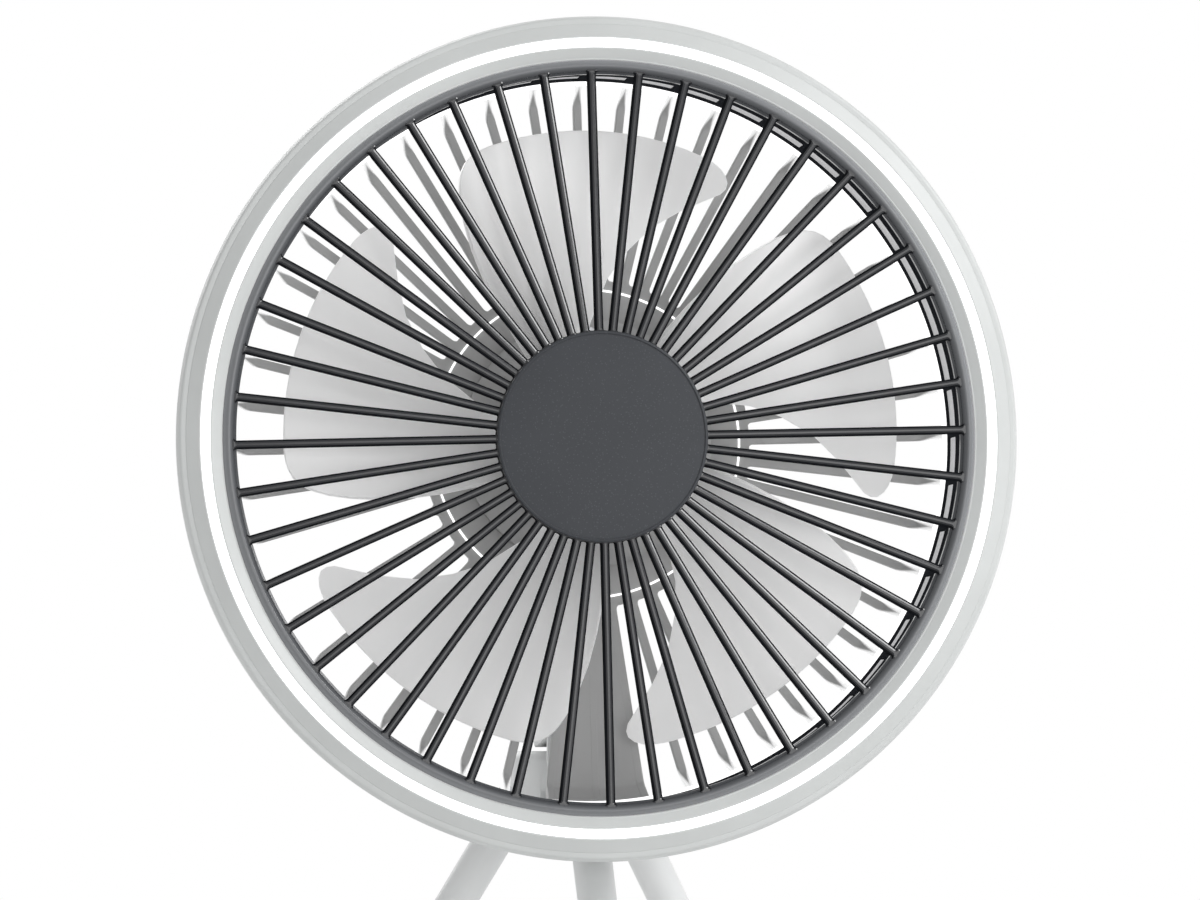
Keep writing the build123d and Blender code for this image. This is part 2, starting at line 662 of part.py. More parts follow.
with BuildPart() as charge_lenses:
    with BuildSketch(face_at(POD_FLOOR)):
        with Locations(LENS_PLACES):
            Circle(0.9)
    extrude(amount=-(WALL - 0.1))
save(charge_lenses, "charge_lenses")

for name, across in BUTTON_PLACES.items():
    with BuildPart() as button:
        with BuildSketch(face_at(POD_FLOOR - 0.3)):
            with Locations((across, BUTTON_HEIGHT)):
                Circle(BUTTON_RADIUS)
        extrude(amount=-(WALL + 0.3 + BUTTON_PROUD))
        fillet(button.edges().group_by(Axis.Y)[-1], 0.5)
        with BuildSketch(face_at(POD_FLOOR - 1.2)):
            with Locations((across, BUTTON_HEIGHT)):
                Circle(BUTTON_RADIUS + 1.2)
        extrude(amount=-1.0)
        with BuildSketch(face_at(SWITCH_TOP + BUTTON_TRAVEL + 0.1)):
            with Locations((across, BUTTON_HEIGHT)):
                Circle(1.5)
        extrude(amount=-1.0)
    save(button, name)

# ---- Tilt bracket on the closed panel ----------------------------------------------------
BRACKET_TOP = -57.5
BRACKET_BOTTOM = -79.0
EAR_BOTTOM = -71.0
BRACKET_FACE = BACK_OUTER + BRACKET_BASE
with BuildPart() as tilt_bracket:
    with BuildSketch(face_at(BACK_OUTER)):
        with Locations((0, (BRACKET_TOP + BRACKET_BOTTOM) / 2)):
            RectangleRounded(2 * (EAR_OUTER - 0.5), BRACKET_TOP - BRACKET_BOTTOM, 2.5)
    extrude(amount=-BRACKET_BASE)
    # Two ears in one cut: the side view of an ear, pulled across, less the gap between.
    ear_root = BACK_OUTER + 1.0 - TRIPOD_DEPTH
    with BuildSketch(TILT_AXIS_PLANE.offset(-EAR_OUTER)):
        Circle(TILT_EYE_RADIUS)
        with BuildLine():
            Polyline(
                (ear_root, BRACKET_TOP + TILT_DROP), (0, TILT_EYE_RADIUS),
                (0, -TILT_EYE_RADIUS), (ear_root, EAR_BOTTOM + TILT_DROP + 0.5), close=True,
            )
        make_face()
    extrude(amount=2 * EAR_OUTER)
    with BuildSketch(TILT_AXIS_PLANE.offset(-EAR_INNER)):
        with Locations((BRACKET_FACE - TRIPOD_DEPTH + 20, 0)):
            Rectangle(40, 40)
    extrude(amount=2 * EAR_INNER, mode=Mode.SUBTRACT)
    with BuildSketch(TILT_AXIS_PLANE.offset(-EAR_OUTER - 1)):
        Circle(TILT_PIN_RADIUS + 0.04)
    extrude(amount=2 * EAR_OUTER + 2, mode=Mode.SUBTRACT)
    with BuildSketch(face_at(BACK_OUTER - 1)):
        with Locations([(0, drop) for drop in PANEL_SCREWS]):
            Circle(1.2)
    extrude(amount=-8, mode=Mode.SUBTRACT)
save(tilt_bracket, "tilt_bracket")

screws("bracket_screws", [(0, drop) for drop in PANEL_SCREWS], face_at(BRACKET_FACE),
       2.2, 1.4, 1.1, BRACKET_BASE + WALL - SCREW_SHORT)

# ---- Tripod hub, neck and hinge hardware -------------------------------------------------
NECK_POCKET = 82.0          # drop of the pocket's floor
SLOT_INNER = 8.4
SLOT_TOP = 78.6
SLOT_WIDTH = LEG_TONGUE + 0.4
with BuildPart() as tripod_hub:
    with BuildSketch(hub_at(TRIPOD_HUB_BOTTOM)):
        Circle(TRIPOD_HUB_RADIUS)
    extrude(amount=TRIPOD_HUB_BOTTOM - TRIPOD_HUB_TOP)
    fillet(tripod_hub.edges().group_by(Axis.Z)[-1], 2.5)
    with BuildSketch(hub_at(NECK_POCKET)):
        Rectangle(2 * NECK_HALF, 2 * NECK_STEM_HALF)
    extrude(amount=20, mode=Mode.SUBTRACT)
    for turn in LEG_TURNS.values():
        with BuildSketch(hub_at(TRIPOD_HUB_BOTTOM + 1)):
            with Locations(Location((0, 0, 0), turn)):
                with Locations((SLOT_INNER + 10, 0)):
                    Rectangle(20, SLOT_WIDTH)
        extrude(amount=TRIPOD_HUB_BOTTOM + 1 - SLOT_TOP, mode=Mode.SUBTRACT)
        # Bore for the leg's pin, across the slot.
        outward, along, pivot = leg_frame(turn)
        with BuildSketch(Plane(origin=pivot - along * 12, z_dir=along)):
            Circle(LEG_PIN_RADIUS)
        extrude(amount=24, mode=Mode.SUBTRACT)
    with BuildSketch(hub_at(TRIPOD_HUB_BOTTOM)):
        Circle(2.1)
    extrude(amount=TRIPOD_HUB_BOTTOM - NECK_POCKET, mode=Mode.SUBTRACT)
    with BuildSketch(hub_at(TRIPOD_HUB_BOTTOM)):
        Circle(3.8)
    extrude(amount=4, mode=Mode.SUBTRACT)
save(tripod_hub, "tripod_hub")

with BuildPart() as tilt_neck:
    with BuildSketch(TILT_AXIS_PLANE.offset(-NECK_HALF)):
        Circle(TILT_EYE_RADIUS)
        with Locations((0, -(NECK_POCKET - TILT_DROP) / 2)):
            Rectangle(2 * NECK_STEM_HALF, NECK_POCKET - TILT_DROP)
        Circle(TILT_PIN_RADIUS, mode=Mode.SUBTRACT)
    extrude(amount=2 * NECK_HALF)
    with BuildSketch(hub_at(NECK_POCKET)):
        Circle(1.9)
    extrude(amount=9, mode=Mode.SUBTRACT)
save(tilt_neck, "tilt_neck")

with BuildPart() as neck_screw:
    with BuildSketch(hub_at(TRIPOD_HUB_BOTTOM - 1)):
        Circle(3.6)
    extrude(amount=3)
    with BuildSketch(hub_at(TRIPOD_HUB_BOTTOM - 1)):
        RegularPolygon(2.0, 6)
    extrude(amount=1.8, mode=Mode.SUBTRACT)
    with BuildSketch(hub_at(TRIPOD_HUB_BOTTOM - 4)):
        Circle(1.9)
    extrude(amount=TRIPOD_HUB_BOTTOM - 4 - NECK_POCKET + 8.5)
save(neck_screw, "neck_screw")

with BuildPart() as hub_cap:
    with BuildSketch(hub_at(TRIPOD_HUB_BOTTOM + 1.6)):
        Circle(8.0)
    extrude(amount=1.6)
    fillet(hub_cap.edges().group_by(Axis.Z)[0], 0.8)
save(hub_cap, "hub_cap")

PIN_HEAD = 1.8
with BuildPart() as tilt_pin:
    with BuildSketch(TILT_AXIS_PLANE.offset(-EAR_OUTER - 0.3)):
        Circle(TILT_PIN_RADIUS)
    extrude(amount=2 * EAR_OUTER + 0.6)
    for start in (-EAR_OUTER - 0.3 - PIN_HEAD, EAR_OUTER + 0.3):
        with BuildSketch(TILT_AXIS_PLANE.offset(start)):
            Circle(4.6)
        extrude(amount=PIN_HEAD)
    with BuildSketch(TILT_AXIS_PLANE.offset(EAR_OUTER + 0.3 + PIN_HEAD)):
        RegularPolygon(2.0, 6)
    extrude(amount=-1.2, mode=Mode.SUBTRACT)
save(tilt_pin, "tilt_pin")

with BuildPart() as friction_washers:
    for start in (-EAR_INNER + 0.05, NECK_HALF):
        with BuildSketch(TILT_AXIS_PLANE.offset(start)):
            Circle(6.2)
            Circle(TILT_PIN_RADIUS, mode=Mode.SUBTRACT)
        extrude(amount=EAR_INNER - 0.05 - NECK_HALF)
save(friction_washers, "friction_washers")

# ---- Legs: a tongue in the hub's slot, a tapered tube, a rubber foot ----------------------
with BuildPart() as leg_pins:
    for turn in LEG_TURNS.values():
        outward, along, pivot = leg_frame(turn)
        with BuildSketch(Plane(origin=pivot - along * LEG_PIN_HALF, z_dir=along)):
            Circle(LEG_PIN_RADIUS)
        extrude(amount=2 * LEG_PIN_HALF)
save(leg_pins, "leg_pins")

for name, turn in LEG_TURNS.items():
    outward, along, pivot = leg_frame(turn)
    down = outward * math.sin(SPLAY) - Vector(0, 0, 1) * math.cos(SPLAY)
    # Local X runs down the leg, local Y outwards and up, local Z along the pin.
    side = Plane(origin=pivot, x_dir=down, z_dir=along)
    with BuildPart() as leg:
        with BuildSketch(side):
            with BuildLine():
                Polyline(
                    (LEG_TUBE_START, 0), (LEG_TUBE_START, LEG_TOP_RADIUS - 0.8),
                    (LEG_TUBE_START + 0.8, LEG_TOP_RADIUS),
                    (FOOT_START, LEG_TIP_RADIUS + 0.15), (FOOT_START, LEG_TIP_RADIUS),
                    (LEG_END, LEG_TIP_RADIUS), (LEG_END, 0), close=True,
                )
            make_face()
        revolve(axis=Axis(pivot, down))
        with BuildSketch(side.offset(-LEG_TONGUE / 2)):
            Circle(LEG_EYE)
            with Locations((LEG_TUBE_START / 2 + 1, 0)):
                Rectangle(LEG_TUBE_START + 2, 2 * LEG_EYE)
            Circle(LEG_PIN_RADIUS + 0.04, mode=Mode.SUBTRACT)
        extrude(amount=LEG_TONGUE)
        split(bisect_by=Plane.XY.offset(0.6), keep=Keep.TOP)
    save(leg, f"leg_{name}")
    with BuildPart() as foot:
        with BuildSketch(side):
            with BuildLine():
                Polyline(
                    (FOOT_START, LEG_TIP_RADIUS), (FOOT_START, FOOT_RADIUS - 0.6),
                    (FOOT_START + 1.5, FOOT_RADIUS), (FOOT_END, FOOT_RADIUS),
                    (FOOT_END, 0), (LEG_END, 0), (LEG_END, LEG_TIP_RADIUS), close=True,
                )
            make_face()
        revolve(axis=Axis(pivot, down))
        split(bisect_by=Plane.XY, keep=Keep.TOP)
    save(foot, f"foot_{name}")
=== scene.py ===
"""Looks of the portable camping fan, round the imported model. Metres, +Z up, the fan faces -Y."""

import json
from math import cos, degrees, pi, radians, sin, sqrt, tan

import bmesh
import bpy
from mathutils import Matrix, Vector


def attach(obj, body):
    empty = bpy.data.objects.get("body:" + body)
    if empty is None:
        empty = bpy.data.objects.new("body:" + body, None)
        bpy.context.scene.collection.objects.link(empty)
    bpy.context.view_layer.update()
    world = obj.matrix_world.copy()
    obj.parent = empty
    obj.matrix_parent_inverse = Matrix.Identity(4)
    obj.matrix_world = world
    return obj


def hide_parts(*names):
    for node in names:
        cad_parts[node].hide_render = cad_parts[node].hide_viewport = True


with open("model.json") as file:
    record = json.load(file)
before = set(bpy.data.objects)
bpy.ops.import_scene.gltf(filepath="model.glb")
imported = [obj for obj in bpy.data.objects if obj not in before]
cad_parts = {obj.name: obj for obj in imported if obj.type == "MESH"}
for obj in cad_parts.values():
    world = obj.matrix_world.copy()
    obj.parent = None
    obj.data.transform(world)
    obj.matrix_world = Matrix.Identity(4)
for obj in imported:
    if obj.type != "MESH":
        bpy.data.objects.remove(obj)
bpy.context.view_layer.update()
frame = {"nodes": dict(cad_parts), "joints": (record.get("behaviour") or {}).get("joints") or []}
MM = 0.001

JOINTS = {joint["name"]: joint for joint in frame["joints"]}
CENTRE = Vector(JOINTS["fan_spin"]["pos_m"])  # on the fan's axis, at the front of the bezel

# Driving sizes of the head, millimetres: radius from the fan's axis, depth behind the bezel.
RIB_COUNT = 48
RIB_PITCH = 360 / RIB_COUNT
RIB_TURN = 1.55  # degrees from the +X side to the first rib
FRONT_RIB = 2.0  # width across
FRONT_RIB_DEEP = 2.7
FRONT_CROWN = ((0.4, 0.6), (0.37, 0.19))  # facets (wide, deep): steep, then shallow
REAR_RIB = 2.1
REAR_RIB_DEEP = 2.0
REAR_CROWN = ((0.3, 0.3),)
PANEL_DEEP = 1.9
PANEL_CROWN = ((0.05, 0.05),)
RIB_CORNER = 0.7  # rounding of the windows' outer corners
CONE_START = 25.3  # radius at which the front ribs' cone begins
CONE_DEPTH = -0.15
CONE_RUN = 61.1
CONE_RISE = 1.55
CAP_RADIUS = 24.9
FRONT_WINDOW = (25.1, 86.6)
FRONT_WINDOW_CORNER = 0.3
REAR_SLOT = (39.5, 87.0)
REAR_SLOT_CORNER = 1.1
RIM_WIDE = 2.6
BLADE_COUNT = 5
BLADE_LEAD = 88.0  # axial advance of the blade's surface in one turn
BLADE_DEPTH = 14.0
BLADE_TURN = 105.0  # degrees to the first blade's radial line
BLADE_THICKNESS = 1.7
ROUND = 288  # steps of a full turn
STEEP = 0.75  # a face whose normal leans less than this to the front is a flank
REARWARD = 0.2  # a face whose normal leans more than this to the rear is seen from behind

# Where painted glow is put, an emission standing in for the ring's light, millimetres.
TIP_START = 84.4  # radius at which the middle of a guard rib begins to fade
TIP_SLANT = 3.2  # radius gained for each millimetre across the rib, which points its tip
TIP_FADE = 0.5  # share of the fade in each millimetre
PANEL_PITCHES = 1.15  # half width of the closed panel, in rib pitches
BEZEL_WALL = 89.7
BEZEL_WALL_START = 1.3
LIP_WALL = 89.4
LIP_WALL_START = 20.0
BEHIND_HOOP = 87.3  # radius beyond which the lip is seen only through the hoop's windows


# ---- Materials ---------------------------------------------------------------------------------
def shader(name):
    """A new node material: its tree, its shader and its object coordinates."""
    material = bpy.data.materials.new(name)
    material.use_nodes = True
    tree = material.node_tree
    surface = tree.nodes["Principled BSDF"]
    place = tree.nodes.new("ShaderNodeTexCoord")
    return material, tree, surface, place.outputs["Object"]


def noise(tree, place, scale, detail=3.0, roughness=0.55):
    """Fractal noise over the object, its scale in features per metre."""
    node = tree.nodes.new("ShaderNodeTexNoise")
    node.inputs["Scale"].default_value = scale
    node.inputs["Detail"].default_value = detail
    node.inputs["Roughness"].default_value = roughness
    tree.links.new(place, node.inputs["Vector"])
    return node.outputs["Fac"]


def ramp(tree, value, low, high, dark, light):
    """Colour between dark and light as the value goes from low to high."""
    node = tree.nodes.new("ShaderNodeValToRGB")
    node.color_ramp.elements[0].position = low
    node.color_ramp.elements[0].color = (*dark, 1)
    node.color_ramp.elements[1].position = high
    node.color_ramp.elements[1].color = (*light, 1)
    tree.links.new(value, node.inputs["Fac"])
    return node.outputs["Color"]


def spread(tree, value, low, high):
    """The value from 0 to 1 spread over low to high."""
    node = tree.nodes.new("ShaderNodeMapRange")
    node.inputs["To Min"].default_value = low
    node.inputs["To Max"].default_value = high
    tree.links.new(value, node.inputs["Value"])
    return node.outputs["Result"]


def bump(tree, surface, height, strength, distance):
    """Raises the surface by a height, in metres."""
    node = tree.nodes.new("ShaderNodeBump")
    node.inputs["Strength"].default_value = strength
    node.inputs["Distance"].default_value = distance
    tree.links.new(height, node.inputs["Height"])
    tree.links.new(node.outputs["Normal"], surface.inputs["Normal"])


def maths(tree, operation, first, second=None):
    """A value worked out from one or two others, each a socket or a number."""
    node = tree.nodes.new("ShaderNodeMath")
    node.operation = operation
    for socket, value in zip(node.inputs, (first, second)):
        if hasattr(value, "links"):
            tree.links.new(value, socket)
        elif value is not None:
            socket.default_value = value
    return node.outputs[0]


def head_polar(tree, place):
    """Distance from the fan's axis in millimetres, and turn about it in radians."""
    split = tree.nodes.new("ShaderNodeSeparateXYZ")
    tree.links.new(place, split.inputs["Vector"])
    x = maths(tree, "SUBTRACT", split.outputs["X"], CENTRE.x)
    z = maths(tree, "SUBTRACT", split.outputs["Z"], CENTRE.z)
    squares = maths(tree, "ADD", maths(tree, "MULTIPLY", x, x), maths(tree, "MULTIPLY", z, z))
    radius = maths(tree, "MULTIPLY", maths(tree, "SQRT", squares), 1000)
    return radius, maths(tree, "ARCTAN2", z, x)


GRAIN = 2600  # features of the moulds' spark grain per metre


def grained(name, rough, grain_depth=0.02):
    """Plastic with a fine spark grain, its depth in millimetres, and no colour of its own yet."""
    material, tree, surface, place = shader(name)
    fine = noise(tree, place, GRAIN, 2)
    tree.links.new(spread(tree, fine, rough - 0.06, rough + 0.06), surface.inputs["Roughness"])
    bump(tree, surface, fine, 0.35, grain_depth * MM)
    return material, tree, surface, place


def moulded(name, colour, rough, grain_depth=0.02, mottle=0.03):
    """Injection-moulded plastic: a fine spark grain, and a faint unevenness of colour and gloss."""
    material, tree, surface, place = grained(name, rough, grain_depth)
    cloud = noise(tree, place, 38, 4)
    dark = [c * (1 - mottle) for c in colour]
    light = [min(1, c * (1 + mottle)) for c in colour]
    tree.links.new(ramp(tree, cloud, 0.35, 0.65, dark, light), surface.inputs["Base Color"])
    return material


def speckled(name, colour, fleck, rough):
    """Dark plastic with a fine pale fleck in its matt grain."""
    material, tree, surface, place = shader(name)
    cells = tree.nodes.new("ShaderNodeTexVoronoi")
    cells.inputs["Scale"].default_value = 1500
    tree.links.new(place, cells.inputs["Vector"])
    flecks = ramp(tree, cells.outputs["Distance"], 0.10, 0.26, fleck, colour)
    cloud = ramp(tree, noise(tree, place, 60, 4), 0.3, 0.7, (0.9, 0.9, 0.9), (1, 1, 1))
    mix = tree.nodes.new("ShaderNodeMix")
    mix.data_type = "RGBA"
    mix.blend_type = "MULTIPLY"
    mix.inputs["Factor"].default_value = 1
    tree.links.new(flecks, mix.inputs["A"])
    tree.links.new(cloud, mix.inputs["B"])
    tree.links.new(mix.outputs["Result"], surface.inputs["Base Color"])
    fine = noise(tree, place, 3200, 2)
    tree.links.new(spread(tree, fine, rough - 0.08, rough + 0.08), surface.inputs["Roughness"])
    bump(tree, surface, fine, 0.4, 0.03 * MM)
    return material


def metal(name, colour, rough, stretch=(1, 1, 1)):
    """Plated or ground metal with fine drawn lines."""
    material, tree, surface, place = shader(name)
    surface.inputs["Metallic"].default_value = 1.0
    mapping = tree.nodes.new("ShaderNodeMapping")
    mapping.inputs["Scale"].default_value = stretch
    tree.links.new(place, mapping.inputs["Vector"])
    lines = noise(tree, mapping.outputs["Vector"], 900, 2)
    dark = [c * 0.88 for c in colour]
    tree.links.new(ramp(tree, lines, 0.3, 0.7, dark, colour), surface.inputs["Base Color"])
    tree.links.new(spread(tree, lines, rough - 0.07, rough + 0.07), surface.inputs["Roughness"])
    return material


def rubber(name, colour):
    """Matt rubber, slightly dusty."""
    material, tree, surface, place = shader(name)
    dust = noise(tree, place, 220, 5, 0.65)
    dusty = [c * 1.7 + 0.01 for c in colour]
    tree.links.new(ramp(tree, dust, 0.45, 0.8, colour, dusty), surface.inputs["Base Color"])
    surface.inputs["Roughness"].default_value = 0.78
    bump(tree, surface, noise(tree, place, 1800, 3), 0.5, 0.05 * MM)
    return material


def lit_diffuser(name):
    """Frosted white light guide, glowing evenly with a faint brighter spot over each lamp."""
    material, tree, surface, place = shader(name)
    spots = ramp(tree, noise(tree, place, 120, 1), 0.3, 0.7, (0.97, 0.98, 1.0), (1, 1, 1))
    tree.links.new(spots, surface.inputs["Base Color"])
    tree.links.new(spots, surface.inputs["Emission Color"])
    surface.inputs["Emission Strength"].default_value = 1.15
    surface.inputs["Roughness"].default_value = 0.4
    return material


def paint_glow(material, glow):
    """Adds a painted glow to pale plastic: an emission that stands in for the ring's light."""
    surface = material.node_tree.nodes["Principled BSDF"]
    surface.inputs["Emission Color"].default_value = (1, 1, 1, 1)
    surface.inputs["Emission Strength"].default_value = glow


def painted_guard_look(name, grey, white, glow):
    """Guard painted grey on its front as shade, whose ribs end in painted white, glowing points;
    its closed panel keeps the painted grey shade.
    """
    material, tree, surface, place = shader(name)
    radius, turn = head_polar(tree, place)
    pitch = radians(RIB_PITCH)
    ribs = maths(tree, "DIVIDE", maths(tree, "SUBTRACT", turn, radians(RIB_TURN)), pitch)
    share = maths(tree, "SUBTRACT", ribs, maths(tree, "ROUND", ribs))
    offset = maths(tree, "MULTIPLY", maths(tree, "MULTIPLY", share, pitch), radius)
    across = maths(tree, "ABSOLUTE", offset)
    # Mask of the painted glow: it grows outwards towards each rib's middle, pointing its tip;
    # elsewhere the guard keeps its painted grey shade.
    reach = maths(tree, "ADD", radius, maths(tree, "MULTIPLY", across, TIP_SLANT))
    tip = maths(tree, "MAXIMUM", maths(tree, "SUBTRACT", reach, TIP_START), 0.0)
    from_panel = maths(tree, "ABSOLUTE", maths(tree, "ADD", ribs, RIB_COUNT / 4))
    open_part = maths(tree, "GREATER_THAN", from_panel, PANEL_PITCHES)
    beyond = maths(tree, "MULTIPLY", maths(tree, "MULTIPLY", tip, TIP_FADE), open_part)
    tree.links.new(ramp(tree, beyond, 0.0, 1.0, grey, white), surface.inputs["Base Color"])
    tree.links.new(
        ramp(tree, beyond, 0.0, 1.0, (0, 0, 0), (1, 1, 1)), surface.inputs["Emission Color"]
    )
    surface.inputs["Emission Strength"].default_value = glow
    surface.inputs["Roughness"].default_value = 0.5
    bump(tree, surface, noise(tree, place, GRAIN, 2), 0.35, 0.02 * MM)
    return material


def painted_rim_look(name, dark, light, rough):
    """Grained plastic with painted shading: dark at the rim's inner edge, painted lighter towards
    its outer edge, standing in for light on the rounded rim.
    """
    material, tree, surface, place = grained(name, rough)
    radius, _ = head_polar(tree, place)
    share = maths(tree, "DIVIDE", maths(tree, "SUBTRACT", radius, FRONT_WINDOW[1]), RIM_WIDE)
    tree.links.new(ramp(tree, share, 0.0, 1.0, dark, light), surface.inputs["Base Color"])
    return material


WHITE = moulded("moulded_white", (0.53, 0.545, 0.54), 0.4, grain_depth=0.002)
# Painted glow: white plastic with an emission that stands in for the ring's light; the second
# material is a weaker painted glow.
PAINTED_GLOW = moulded("moulded_white_painted_glow", (0.80, 0.80, 0.80), 0.5)
paint_glow(PAINTED_GLOW, 1.1)
PAINTED_DIM_GLOW = moulded("moulded_white_painted_dim_glow", (0.62, 0.62, 0.64), 0.5)
paint_glow(PAINTED_DIM_GLOW, 0.3)
# The guard's front is painted grey as shade and its rib tips carry a painted glow; its rear faces
# get the plain white.
PAINTED_GUARD = painted_guard_look("guard_painted_shade_and_glow", (0.42, 0.42, 0.42), (0.80, 0.80, 0.80), 0.5)
GREY = moulded("moulded_grey", (0.40, 0.40, 0.40), 0.5)
# The blades' white is paler than the housing's and carries a small painted glow: both are a painted
# lift against the shade inside the guard.
BLADE = moulded("blade_white", (0.92, 0.92, 0.92), 0.3, grain_depth=0.008)
paint_glow(BLADE, 0.12)
SLATE = moulded("grille_slate", (0.006, 0.007, 0.010), 0.17, grain_depth=0.002)
# The flanks get a glossless copy of the slate: painted shade that keeps the ribs' sides near-black.
PAINTED_SHADE_FLANK = moulded("grille_flank_painted_shade", (0.012, 0.013, 0.015), 0.65)
HOOP = moulded("hoop_slate", (0.024, 0.026, 0.030), 0.7)
# The rim's radial dark-to-light gradient is painted shading.
PAINTED_RIM = painted_rim_look("rim_slate_painted_shading", (0.04, 0.043, 0.048), (0.26, 0.267, 0.278), 0.25)
CAP = speckled("cap_slate", (0.036, 0.039, 0.045), (0.06, 0.064, 0.072), 0.5)
for dark_look, gloss in ((SLATE, 0.5), (PAINTED_SHADE_FLANK, 0.0), (HOOP, 0.0), (PAINTED_RIM, 0.4), (CAP, 0.3)):
    dark_look.node_tree.nodes["Principled BSDF"].inputs["Specular IOR Level"].default_value = gloss
STAND = moulded("stand_white", (0.68, 0.69, 0.69), 0.4)
LEG = moulded("leg_grey", (0.66, 0.67, 0.67), 0.36)
FOOT = rubber("foot_rubber", (0.045, 0.045, 0.048))
LIGHT = lit_diffuser("light_diffuser")
STEEL = metal("screw_steel", (0.56, 0.57, 0.59), 0.3)
MOTOR = metal("motor_steel", (0.46, 0.47, 0.49), 0.32, (1, 12, 1))
MAGNET = moulded("magnet", (0.05, 0.05, 0.054), 0.55)
COPPER = metal("coil_wire", (0.72, 0.30, 0.13), 0.3, (1, 14, 1))
BOARD = moulded("circuit_board", (0.02, 0.13, 0.05), 0.35, mottle=0.15)
CHIP = moulded("led_chip", (0.85, 0.76, 0.30), 0.3)
WRAP = moulded("battery_wrap", (0.06, 0.16, 0.42), 0.28)
BUTTON = moulded("button_grey", (0.075, 0.08, 0.088), 0.45)
LENS = moulded("lens_clear", (0.7, 0.82, 0.76), 0.15)

NODE_LOOKS = {
    "front_grille": SLATE, "grille_hoop": SLATE, "centre_cap": CAP, "bezel_ring": WHITE,
    "rear_basket": WHITE, "pod_cover": WHITE, "tilt_bracket": STAND, "tripod_hub": STAND,
    "tilt_neck": STAND, "hub_cap": STAND, "light_diffuser": LIGHT, "led_board": BOARD,
    "led_chips": CHIP, "main_board": BOARD, "ring_screws": STEEL, "plate_screws": STEEL,
    "pod_screws": STEEL, "bracket_screws": STEEL, "neck_screw": STEEL, "tilt_pin": STEEL,
    "leg_pins": STEEL, "shaft_clip": STEEL, "friction_washers": BUTTON,
    "button_switches": BUTTON, "fan_button": BUTTON, "light_button": BUTTON,
    "charge_lenses": LENS, "charging_socket": STEEL, "battery_pack": WRAP,
    "motor_plate": GREY, "impeller": BLADE, "rotor_can": MOTOR, "magnet_ring": MAGNET,
    "motor_shaft": MOTOR, "bearing_front": MOTOR, "bearing_rear": MOTOR, "stator_core": MOTOR,
    "stator_coils": COPPER, "leg_front": LEG, "leg_left": LEG, "leg_right": LEG,
    "foot_front": FOOT, "foot_left": FOOT, "foot_right": FOOT,
}
for node_name, look in NODE_LOOKS.items():
    node_mesh = frame["nodes"][node_name].data
    node_mesh.materials.clear()
    node_mesh.materials.append(look)


# ---- Mesh making -------------------------------------------------------------------------------
def head_point(radius, turn, depth):
    """Place in the head, from millimetres of radius and depth and degrees of turn."""
    angle = radians(turn)
    return CENTRE + Vector((radius * cos(angle), depth, radius * sin(angle))) * MM


def finish_piece(name, vertices, faces, body, slot, material, replaces=(), sharp=40):
    """Makes the mesh an object with clean normals that rides on its body."""
    mesh = bpy.data.meshes.new(name)
    mesh.from_pydata(vertices, [], faces)
    work = bmesh.new()
    work.from_mesh(mesh)
    bmesh.ops.remove_doubles(work, verts=work.verts, dist=0.0005 * MM)
    bmesh.ops.recalc_face_normals(work, faces=work.faces)
    work.to_mesh(mesh)
    work.free()
    mesh.shade_smooth()
    mesh.set_sharp_from_angle(angle=radians(sharp))
    mesh.materials.append(material)
    piece = bpy.data.objects.new(name, mesh)
    bpy.context.scene.collection.objects.link(piece)
    piece.modifiers.new("even_normals", "WEIGHTED_NORMAL").keep_sharp = True
    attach(piece, body)
    if replaces:
        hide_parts(*replaces)
    return piece


def rounded(corners, steps=4):
    """Closed outline from (across, along, corner radius), each corner an arc."""
    outline = []
    count = len(corners)
    for index, (x, y, radius) in enumerate(corners):
        here = Vector((x, y))
        before = Vector(corners[index - 1][:2]) - here
        after = Vector(corners[(index + 1) % count][:2]) - here
        if radius <= 0:
            outline.append(here)
            continue
        turn = before.angle(after)
        back = min(radius / tan(turn / 2), 0.49 * before.length, 0.49 * after.length)
        start = here + before.normalized() * back
        end = here + after.normalized() * back
        real = back * tan(turn / 2)
        centre = here + (before.normalized() + after.normalized()).normalized() * (
            real / sin(turn / 2)
        )
        first = (start - centre).to_2d()
        sweep = first.angle_signed(end - centre)
        for step in range(steps + 1):
            outline.append(centre + Matrix.Rotation(-sweep * step / steps, 2) @ first)
    return [(point.x, point.y) for point in outline]


def skin(rings, count, closed=False):
    """Faces that join rings of count points in turn, and the last to the first if closed."""
    return [
        (
            ring * count + index,
            ring * count + (index + 1) % count,
            (ring + 1) % rings * count + (index + 1) % count,
            (ring + 1) % rings * count + index,
        )
        for ring in range(rings if closed else rings - 1)
        for index in range(count)
    ]


def tube(rings):
    """Vertices and faces of a solid through rings of points, with both ends closed."""
    count = len(rings[0])
    last = (len(rings) - 1) * count
    vertices = [point for ring in rings for point in ring]
    faces = skin(len(rings), count)
    faces.append(tuple(range(count)))
    faces.append(tuple(last + index for index in reversed(range(count))))
    return vertices, faces


def lathe(outline, steps=ROUND):
    """Vertices and faces of a closed outline of (radius, depth) turned about the fan's axis."""
    vertices = [
        head_point(radius, 360 * step / steps, depth)
        for step in range(steps)
        for radius, depth in outline
    ]
    return vertices, skin(steps, len(outline), closed=True)


def joined(*shapes):
    """Several shapes' vertices and faces as one."""
    vertices, faces = [], []
    for shape_vertices, shape_faces in shapes:
        start = len(vertices)
        vertices += shape_vertices
        faces += [tuple(start + index for index in face) for face in shape_faces]
    return vertices, faces


